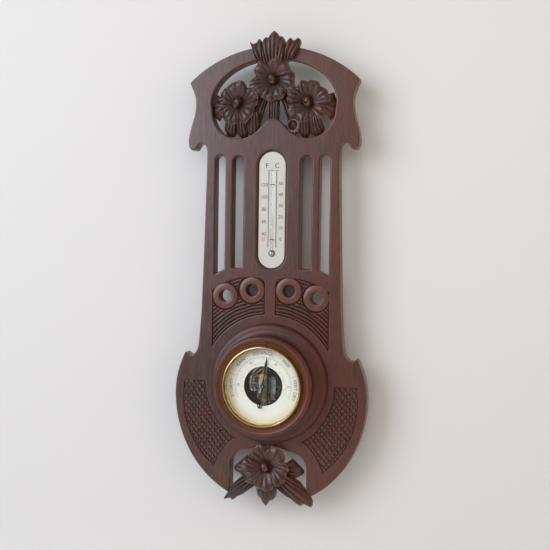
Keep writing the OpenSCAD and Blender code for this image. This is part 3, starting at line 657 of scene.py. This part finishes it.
tendril(foliage, (26, 289.5), 7.6, 2.9, 6.5, 14.5)
mount(foliage.piece("crest_openwork", sharp=48), shellac_carved, replaced=["crest_foliage"])

lower = Shell()
for side in (1, -1):
    fan_leaf(lower, [(side * 17, -141), (side * 19, -152)],
             [(side * 30, -131), (side * 37, -137), (side * 46, -147), (side * 40, -153), (side * 30, -158)],
             4, 7, (17, 19, 14))
fan_leaf(lower, [(-19, -146), (-6, -160)],
         [(-34, -156), (-45, -166), (-52, -177), (-58, -187.5), (-50, -185.5), (-46, -188), (-40, -183),
          (-33, -180), (-28, -175.5), (-24, -171)],
         6, 15, (24, 25, 18.5))
fan_leaf(lower, [(6, -160), (19, -146)],
         [(22, -172), (26, -178), (33, -181), (38, -185), (43, -189), (48, -186), (57, -189.5),
          (59, -181), (52, -170), (42, -158)],
         6, 15, (24, 25, 18.5))
fan_leaf(lower, [(-8, -158), (8, -158)],
         [(-14, -172), (-11.5, -180), (-7.5, -184), (-2, -192), (3.5, -185), (7.5, -183.5), (11.5, -178),
          (12, -170)],
         5, 15, (26, 27, 20))
mount(lower.piece("lower_leaves", sharp=48), shellac_carved, replaced=["lower_leaf_spray"])

# ----------------------------------------
# Bezel, pins and glass: a spun brass ring whose thin front lip is rubbed bright and whose flange has
# gone amber under old lacquer, three steel pins through the flange, and a flat ground pane behind it.
# ----------------------------------------


def metal(name, bright, dull, roughness, grit, stretch, spots):
    """Bare metal: its colour drifts to the dull tone in soft spots, and fine finishing lines of the given
    spacing in millimetres, drawn out along one axis, roughen and lightly bump it."""
    made, tree, place = material(name)
    along = add(tree, "Mapping", {"Vector": place}, inputs={"Scale": stretch}).outputs[0]
    lines = add(tree, "TexNoise", {"Vector": along}, inputs={"Scale": 1000 / grit, "Detail": 3})
    cloud = add(tree, "TexNoise", {"Vector": place}, inputs={"Scale": 160, "Detail": 4, "Roughness": 0.6})
    share = add(tree, "MapRange", {"Value": cloud.outputs["Fac"]},
                inputs={"From Min": 0.62 - spots * 0.3, "From Max": 0.72, "To Max": 0.85})
    tone = add(tree, "Mix", {0: share.outputs[0]}, data_type="RGBA", inputs={6: bright, 7: dull})
    rough = add(tree, "MapRange", {"Value": lines.outputs["Fac"]},
                inputs={"From Min": 0.3, "From Max": 0.7, "To Min": roughness - 0.05,
                        "To Max": roughness + 0.08})
    bump = add(tree, "Bump", {"Height": lines.outputs["Fac"]},
               inputs={"Strength": 0.12, "Distance": 0.00008})
    shader = add(tree, "BsdfPrincipled",
                 {"Base Color": tone.outputs[2], "Roughness": rough.outputs[0], "Normal": bump.outputs[0]},
                 inputs={"Metallic": 1.0})
    add(tree, "OutputMaterial", {"Surface": shader.outputs[0]})
    return made


def from_dial(tree, place):
    """The distance in metres from the dial's axis, for rings of colour on round pieces."""
    moved = add(tree, "Mapping", {"Vector": place},
                inputs={"Location": (0, 0, -(SHOULDER_Z + DIAL_Y / 1000)), "Scale": (1, 0, 1)})
    return add(tree, "VectorMath", {0: moved.outputs[0]}, operation="LENGTH").outputs["Value"]


def lacquered_brass():
    """Spun brass: the rim, inside 50.3 mm, is bright and clean; the flange outside it is brown amber."""
    made, tree, place = material("lacquered_spun_brass")
    radius = from_dial(tree, place)
    cloud = add(tree, "TexNoise", {"Vector": place}, inputs={"Scale": 90, "Detail": 5, "Roughness": 0.65})
    outer = add(tree, "MapRange", {"Value": radius}, inputs={"From Min": 0.0500, "From Max": 0.0506})
    amber = add(tree, "Mix", {0: cloud.outputs["Fac"]}, data_type="RGBA",
                inputs={6: "#3d2211", 7: "#8a5020"})
    clean = add(tree, "Mix", {0: cloud.outputs["Fac"]}, data_type="RGBA",
                inputs={6: "#e8d7ae", 7: "#cbb07c"})
    tone = add(tree, "Mix", {0: outer.outputs[0], 6: clean.outputs[2], 7: amber.outputs[2]},
               data_type="RGBA")
    rough = add(tree, "MapRange", {"Value": outer.outputs[0]}, inputs={"To Min": 0.22, "To Max": 0.6})
    bump = add(tree, "Bump", {"Height": cloud.outputs["Fac"]}, inputs={"Strength": 0.1, "Distance": 0.0002})
    shader = add(tree, "BsdfPrincipled",
                 {"Base Color": tone.outputs[2], "Roughness": rough.outputs[0], "Normal": bump.outputs[0]},
                 inputs={"Metallic": 1.0, "Coat Weight": 0.3, "Coat Roughness": 0.15})
    add(tree, "OutputMaterial", {"Surface": shader.outputs[0]})
    return made


def clear_glass(name, tint, roughness):
    """Clear glass: it mirrors faintly, carries a trace of dust, and lets lamplight through to what is
    behind it."""
    made, tree, place = material(name)
    dust = add(tree, "TexNoise", {"Vector": place}, inputs={"Scale": 60, "Detail": 4})
    haze = add(tree, "MapRange", {"Value": dust.outputs["Fac"]},
               inputs={"From Min": 0.45, "From Max": 0.8, "To Min": roughness, "To Max": roughness + 0.05})
    shader = add(tree, "BsdfPrincipled", {"Roughness": haze.outputs[0]},
                 inputs={"Base Color": tint, "IOR": 1.5, "Transmission Weight": 1.0})
    clear = add(tree, "BsdfTransparent", inputs={"Color": tint})
    rays = add(tree, "LightPath").outputs["Is Shadow Ray"]
    pane = add(tree, "MixShader", {0: rays, 1: shader.outputs[0], 2: clear.outputs[0]})
    add(tree, "OutputMaterial", {"Surface": pane.outputs[0]})
    return made


def redress(made, *nodes):
    """CAD nodes that stay as they are show this material."""
    for node in nodes:
        dress(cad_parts[node], made)


# Drawn steel: cool, bright, a little greyed where fingers dulled it.
plain_steel = metal("bright_drawn_steel", "#c9ccd2", "#6c6e72", 0.3, 0.35, (1, 1, 1), 0.5)
redress(lacquered_brass(), "bezel")
redress(plain_steel, "hand_arbor", "capsule_stem", "mainspring", "spring_screws", "link_rod",
        "rocker_arbor", "pull_chain")
redress(clear_glass("ground_front_glass", "#fbfdfc", 0.0), "front_glass")

# ----------------------------------------
# Dial: a thin metal ring under white paint gone cream, printed in grey black with the weather words,
# an inch scale and a centimetre scale; a conical brass ring keeps it apart from the glass.
# ----------------------------------------

FACE = -dial_low.y * 1000        # mm from the wall to the dial's printed face
INK_T = 0.03                     # mm, thickness of the printed ink
INCH = 60                        # degrees of the hand for one inch of mercury
INCH_TOP, CENTIMETRES = 29.5, 2.54


def printed(shell, words, size, place):
    """A word as a thin layer of ink: the letters are made a mesh in millimetres, then laid by place."""
    curve = bpy.data.curves.new("ink", "FONT")
    curve.body, curve.size, curve.extrude, curve.resolution_u = words, size, INK_T / 2, 3
    curve.align_x = curve.align_y = "CENTER"
    holder = bpy.data.objects.new("ink", curve)
    bpy.context.scene.collection.objects.link(holder)
    mesh = bpy.data.meshes.new_from_object(holder.evaluated_get(bpy.context.evaluated_depsgraph_get()))
    mesh.calc_loop_triangles()
    points = np.empty(len(mesh.vertices) * 3)
    mesh.vertices.foreach_get("co", points)
    corners = np.empty(len(mesh.loop_triangles) * 3, int)
    mesh.loop_triangles.foreach_get("vertices", corners)
    bpy.data.objects.remove(holder)
    bpy.data.meshes.remove(mesh)
    shell.add(place(points.reshape(-1, 3)), corners.reshape(-1, 3))


def round_the_dial(radius, clockwise):
    """Lays a flat word on a circle: x becomes the angle about the axis, y the distance outward."""
    def place(p):
        a = np.radians(clockwise) + p[:, 0] / radius
        r = radius + p[:, 1]
        return to_frame(r * np.sin(a), DIAL_Y + r * np.cos(a), FACE + INK_T / 2 + p[:, 2])
    return place


def strokes(shell, starts, ends, width, level):
    """Ruled lines: each is a thin box on its start and its end, as wide as the pen."""
    starts, ends = np.atleast_2d(starts).astype(float), np.atleast_2d(ends).astype(float)
    run = ends - starts
    side = np.c_[-run[:, 1], run[:, 0]] / np.linalg.norm(run, axis=1, keepdims=True) * width / 2
    flat = np.stack([starts - side, starts + side, ends + side, ends - side], 1)
    corners = np.concatenate([np.dstack([flat, np.full(flat.shape[:2], level)]),
                              np.dstack([flat, np.full(flat.shape[:2], level + INK_T)])], 1)
    box = np.array([[0, 1, 2, 3], [7, 6, 5, 4], [0, 4, 5, 1], [1, 5, 6, 2], [2, 6, 7, 3], [3, 7, 4, 0]])
    shell.add(to_frame(corners[..., 0], corners[..., 1], corners[..., 2]),
              (box[None] + 8 * np.arange(len(starts))[:, None, None]).reshape(-1, 4))


def dial_ticks(shell, clockwise, inner, outer, width):
    """Radial lines at the given angles clockwise from the top."""
    a = np.radians(np.atleast_1d(clockwise))
    way = np.c_[np.sin(a), np.cos(a)]
    strokes(shell, way * inner + [0, DIAL_Y], way * outer + [0, DIAL_Y], width, FACE)


def paint(name, tone, stain, roughness, rim):
    """Oil paint on thin sheet: smooth, slightly uneven in tone, yellowed by patches towards its rim."""
    made, tree, place = material(name)
    radius = from_dial(tree, place)
    cloud = add(tree, "TexNoise", {"Vector": place}, inputs={"Scale": 45, "Detail": 5, "Roughness": 0.6})
    outer = add(tree, "MapRange", {"Value": radius}, inputs={"From Min": rim[0], "From Max": rim[1]})
    share = add(tree, "Math", {0: cloud.outputs["Fac"], 1: outer.outputs[0]}, operation="MULTIPLY")
    aged = add(tree, "Math", {0: share.outputs[0]}, operation="MULTIPLY_ADD", use_clamp=True,
               inputs={1: 1.3, 2: 0.04})
    toned = add(tree, "Mix", {0: aged.outputs[0]}, data_type="RGBA", inputs={6: tone, 7: stain})
    grain = add(tree, "TexNoise", {"Vector": place}, inputs={"Scale": 1400, "Detail": 2})
    bump = add(tree, "Bump", {"Height": grain.outputs["Fac"]},
               inputs={"Strength": 0.08, "Distance": 0.0001})
    rough = add(tree, "MapRange", {"Value": cloud.outputs["Fac"]},
                inputs={"To Min": roughness, "To Max": roughness + 0.15})
    shader = add(tree, "BsdfPrincipled",
                 {"Base Color": toned.outputs[2], "Normal": bump.outputs[0], "Roughness": rough.outputs[0]},
                 inputs={"IOR": 1.5})
    add(tree, "OutputMaterial", {"Surface": shader.outputs[0]})
    return made


def printing_ink(name, code, faded):
    """Oil ink, matt and a little uneven where it lay thin."""
    made, tree, place = material(name)
    thin = add(tree, "TexNoise", {"Vector": place}, inputs={"Scale": 700, "Detail": 3})
    tone = add(tree, "Mix", {0: thin.outputs["Fac"]}, data_type="RGBA", inputs={6: code, 7: faded})
    shader = add(tree, "BsdfPrincipled", {"Base Color": tone.outputs[2]}, inputs={"Roughness": 0.7})
    add(tree, "OutputMaterial", {"Surface": shader.outputs[0]})
    return made


# Black ink: dense and matt, greyer where the roller left less of it. The red is brick red.
black_ink = printing_ink("black_printing_ink", "#191818", "#333130")
red_ink = printing_ink("red_printing_ink", "#a82a30", "#c0504f")
redress(paint("cream_dial_paint", "#cbcac2", "#ad9465", 0.38, (0.038, 0.049)), "dial_plate")

dial_print = Shell()
for words, clockwise in (("STORMY", -95), ("RAIN", -45), ("CHANGE", 0), ("FAIR", 45), ("VERY DRY", 95)):
    printed(dial_print, words, 6.0, round_the_dial(41.0, clockwise))
for inches in range(28, 32):
    printed(dial_print, str(inches), 4.2, round_the_dial(31.6, (inches - INCH_TOP) * INCH))
for centimetre in range(71, 80):
    clockwise = (centimetre - INCH_TOP * CENTIMETRES) * INCH / CENTIMETRES
    printed(dial_print, str(centimetre), 1.9, round_the_dial(26.7, clockwise))
tenths = np.arange(-19, 20) * INCH / 10
dial_ticks(dial_print, tenths, 34, 36, 0.22)
dial_ticks(dial_print, tenths[:-1] + INCH / 20, 34.8, 36, 0.14)
dial_ticks(dial_print, tenths[4::5], 33.4, 36, 0.35)
dial_ticks(dial_print, [-71, -19, 19, 71], 37.2, 46.4, 0.3)
for radius, width in ((36, 0.22), (28.6, 0.16)):
    a = np.radians(np.arange(-116, 118, 2))
    circle = np.c_[radius * np.sin(a), DIAL_Y + radius * np.cos(a)]
    strokes(dial_print, circle[:-1], circle[1:], width, FACE)
mount(dial_print.piece("dial_print"), black_ink)

# ----------------------------------------
# Movement: filed and grained brass plates on turned pillars, a nickel silver capsule pressed into
# rings, a black iron bridge over it with a steel leaf spring, and a chain to the hand's arbor.
# ----------------------------------------

# Grained brass: filed one way, brown olive with age. Turned brass: bright gold with fine tool rings.
grained_brass = metal("grained_plate_brass", "#8f7c57", "#5d4c31", 0.34, 0.3, (0.15, 1, 1), 0.3)
turned_brass = metal("turned_brass", "#efd493", "#a07c48", 0.2, 0.4, (1, 1, 0.2), 0.45)
redress(grained_brass, "movement_case", "base_plate", "lever_bracket", "main_lever", "rocker_bracket")
# Bronzed brass: the same plate chemically browned, so that the bright bush and screws stand out on it.
bronzed_brass = metal("bronzed_plate_brass", "#6a5d42", "#3a3124", 0.4, 0.3, (0.15, 1, 1), 0.4)
redress(bronzed_brass, "arbor_cock", "arbor_bridge")
redress(turned_brass, "reflector_ring", "chain_pulley", "base_spacers", "dial_pillars", "bridge_pillars",
        "bridge_spacers", "bridge_bush", "bridge_screws", "adjusting_screw")
# Nickel silver: a warm silver whose pressed rings show as bright and dark bands.
redress(metal("pressed_nickel_silver", "#d5d0c4", "#8d8675", 0.2, 0.5, (1, 1, 1), 0.4), "vacuum_capsule")


def blackened_iron():
    """Sand-cast iron under black japan: a coarse skin of 1.5 mm grains that catches light in points."""
    made, tree, place = material("japanned_cast_iron")
    skin = add(tree, "TexNoise", {"Vector": place}, inputs={"Scale": 660, "Detail": 4, "Roughness": 0.6})
    tone = add(tree, "Mix", {0: skin.outputs["Fac"]}, data_type="RGBA", inputs={6: "#141414", 7: "#34322f"})
    bump = add(tree, "Bump", {"Height": skin.outputs["Fac"]}, inputs={"Strength": 0.6, "Distance": 0.0004})
    shader = add(tree, "BsdfPrincipled", {"Base Color": tone.outputs[2], "Normal": bump.outputs[0]},
                 inputs={"Metallic": 0.3, "Roughness": 0.5})
    add(tree, "OutputMaterial", {"Surface": shader.outputs[0]})
    return made


redress(blackened_iron(), "mainspring_bridge")
# Blued steel: near black, with a deep blue glint.
blued_steel = metal("fire_blued_steel", "#222c48", "#101320", 0.22, 0.3, (1, 1, 0.3), 0.5)
redress(blued_steel, "indicator_hand", "hairspring")

# ----------------------------------------
# Thermometer: a white opal glass plate printed with both scales, let into the board; a glass tube with
# a mercury bulb lies down its middle under two dark wire staples.
# ----------------------------------------

plate_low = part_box("thermometer_plate")[0]
SCALE_FACE = -plate_low.y * 1000      # mm from the wall to the plate's printed face
FREEZING = 147                        # mm above the shoulder line where both scales freeze
FAHRENHEIT = 0.775                    # mm for one degree


def on_the_plate(x, y):
    """Lays a flat word upright on the plate about the point (x, y)."""
    def place(p):
        return to_frame(x + p[:, 0], y + p[:, 1], SCALE_FACE + INK_T / 2 + p[:, 2])
    return place


def opal_glass():
    """Opal glass: milk white right through, fire-polished."""
    made, tree, place = material("white_opal_glass")
    cloud = add(tree, "TexNoise", {"Vector": place}, inputs={"Scale": 30, "Detail": 3})
    tone = add(tree, "Mix", {0: cloud.outputs["Fac"]}, data_type="RGBA",
               inputs={6: "#cbcac4", 7: "#bbb8ae"})
    rough = add(tree, "MapRange", {"Value": cloud.outputs["Fac"]}, inputs={"To Min": 0.12, "To Max": 0.3})
    shader = add(tree, "BsdfPrincipled",
                 {"Base Color": tone.outputs[2], "Roughness": rough.outputs[0]}, inputs={"IOR": 1.5})
    add(tree, "OutputMaterial", {"Surface": shader.outputs[0]})
    return made


scale_print, red_print = Shell(), Shell()
printed(scale_print, "F", 8.5, on_the_plate(-7, 239))
printed(scale_print, "C", 8.5, on_the_plate(6, 239))
for degrees in (40, 60, 80, 100, 120):
    printed(scale_print, str(degrees), 6.2, on_the_plate(-10.3, FREEZING + (degrees - 32) * FAHRENHEIT))
for degrees in range(0, 60, 10):
    printed(scale_print, str(degrees), 6.2, on_the_plate(11.3, FREEZING + degrees * 1.8 * FAHRENHEIT))
printed(red_print, "32", 5.8, on_the_plate(-11, FREEZING))
for inner, outer, marks in ((-3.7, -5.2, (np.arange(20, 142, 2) - 32) * FAHRENHEIT),
                            (5.0, 6.5, np.arange(-7, 61) * 1.8 * FAHRENHEIT)):
    y = FREEZING + marks
    strokes(scale_print, np.c_[np.full(len(y), inner), y], np.c_[np.full(len(y), outer), y], 0.45, SCALE_FACE)
    middle = (inner + outer) / 2
    strokes(scale_print, [(middle, 136.5)], [(middle, 233)], 0.6, SCALE_FACE)
strokes(scale_print, [(-6.5, 233)], [(8, 233)], 0.5, SCALE_FACE)
mount(scale_print.piece("scale_print"), black_ink)
mount(red_print.piece("freezing_point_print"), red_ink)
redress(opal_glass(), "thermometer_plate")
redress(clear_glass("drawn_tube_glass", "#f4f7f6", 0.02), "thermometer_tube")
# Mercury: a dark mirror behind the glass.
redress(metal("mercury", "#c4c6c9", "#8f9195", 0.12, 0.8, (1, 1, 1), 0.3), "thermometer_liquid")
# Oxidised wire: dull brown black, with hardly a shine.
oxidised_wire = metal("oxidised_steel_wire", "#2c2b2b", "#171615", 0.45, 0.4, (1, 1, 1), 0.5)
redress(oxidised_wire, "tube_staples", "bezel_pins")

# ----------------------------------------
# Hanger: a brass plate with its eye, let in behind the top rail and held by two brass screws.
# ----------------------------------------

redress(grained_brass, "hanger_plate")
redress(turned_brass, "hanger_screws")

# ----------------------------------------
# Room: a sheet of pale paper behind, sweeping into a pale table far below.
# ----------------------------------------

# Paper: a pale warm grey without any shine, so that the board's shadow lies soft on it.
paper, paper_tree, _ = material("matt_backdrop_paper")
paper_shader = add(paper_tree, "BsdfPrincipled",
                   inputs={"Base Color": "#d6d5d3", "Roughness": 0.9, "IOR": 1.45})
add(paper_tree, "OutputMaterial", {"Surface": paper_shader.outputs[0]})
WALL_GAP = 0.03                  # m, from the board's back to the paper
BEND_Z, BEND_R = -0.62, 0.25     # m, height at which the paper starts to bend, and the bend's radius
bend = np.radians(np.linspace(0, -90, 20))
sweep_line = np.vstack([[[WALL_GAP, 1.2], [WALL_GAP, BEND_Z]],
                        np.c_[WALL_GAP - BEND_R + BEND_R * np.cos(bend), BEND_Z + BEND_R * np.sin(bend)],
                        [[-2.2, BEND_Z - BEND_R]]])
across = np.linspace(-2.5, 2.5, 3)
sweep = Shell()
sweep.grid(np.stack(np.broadcast_arrays(across[None, :], sweep_line[:, :1], sweep_line[:, 1:]), -1))
backdrop = dress(sweep.piece("backdrop", outward=False), paper)

# ----------------------------------------
# Light: a broad window to the upper left, warm and white walls that fill, and the pale room round it.
# ----------------------------------------

world = bpy.data.worlds.new("pale_room")
bpy.context.scene.world = world
world.use_nodes = True
world.node_tree.nodes["Background"].inputs["Color"].default_value = linear("#f5f4f2")
world.node_tree.nodes["Background"].inputs["Strength"].default_value = 0.3


def soft_light(name, place, target, size, watts, colour, mirrored_in_gloss=True):
    """A rectangular area light at a place, turned to face its target; a scattering one shows in no gloss."""
    lamp = bpy.data.lights.new(name, "AREA")
    lamp.shape = "RECTANGLE"
    lamp.size, lamp.size_y = size
    lamp.energy = watts
    lamp.color = linear(colour)[:3]
    holder = bpy.data.objects.new(name, lamp)
    holder.matrix_world = (Matrix.Translation(place)
                           @ (Vector(target) - Vector(place)).to_track_quat("-Z", "Y").to_matrix().to_4x4())
    holder.visible_glossy = mirrored_in_gloss
    bpy.context.scene.collection.objects.link(holder)


MIDDLE = (0, 0, -0.28)           # m, the middle of the board, at which every light aims
soft_light("window", (-1.28, -1.65, 0.4), MIDDLE, (1.4, 1.5), 33, "#ecf1ff")
soft_light("bounce", (1.7, -1.2, 0.2), MIDDLE, (1.2, 1.6), 10, "#ffe9d2", False)
soft_light("front_wall", (0.15, -1.7, 0.45), MIDDLE, (1.8, 1.0), 11, "#fffaf2", False)

# ----------------------------------------
# Camera: a little right of centre and above, tipped so that the board leans to the right.
# ----------------------------------------

EYE_TILT = (2.03, 1.09, -14.28)      # degrees, the axis about which the camera turns, times its angle
EYE_FROM_BOARD = (0.316, -1.219, 0.149)   # m, from the middle of the shoulder line on the board's face
SENSOR, FOCAL_LENGTH = 36, 65.4545   # mm

eye = bpy.data.objects.new("camera", bpy.data.cameras.new("camera"))
eye.data.sensor_width = SENSOR
eye.data.lens = FOCAL_LENGTH
tilt = Vector(np.radians(EYE_TILT))
turn = Matrix.Rotation(tilt.length, 3, tilt.normalized())
view = Matrix(((1, 0, 0), (0, 0, -1), (0, 1, 0))) @ turn
eye.matrix_world = (Matrix.Translation(Vector(EYE_FROM_BOARD) + Vector((0, board_low.y, SHOULDER_Z)))
                    @ Matrix((view[0], -view[1], -view[2])).transposed().to_4x4())
bpy.context.scene.collection.objects.link(eye)
bpy.context.scene.camera = eye
bpy.context.scene.view_settings.view_transform = "Standard"
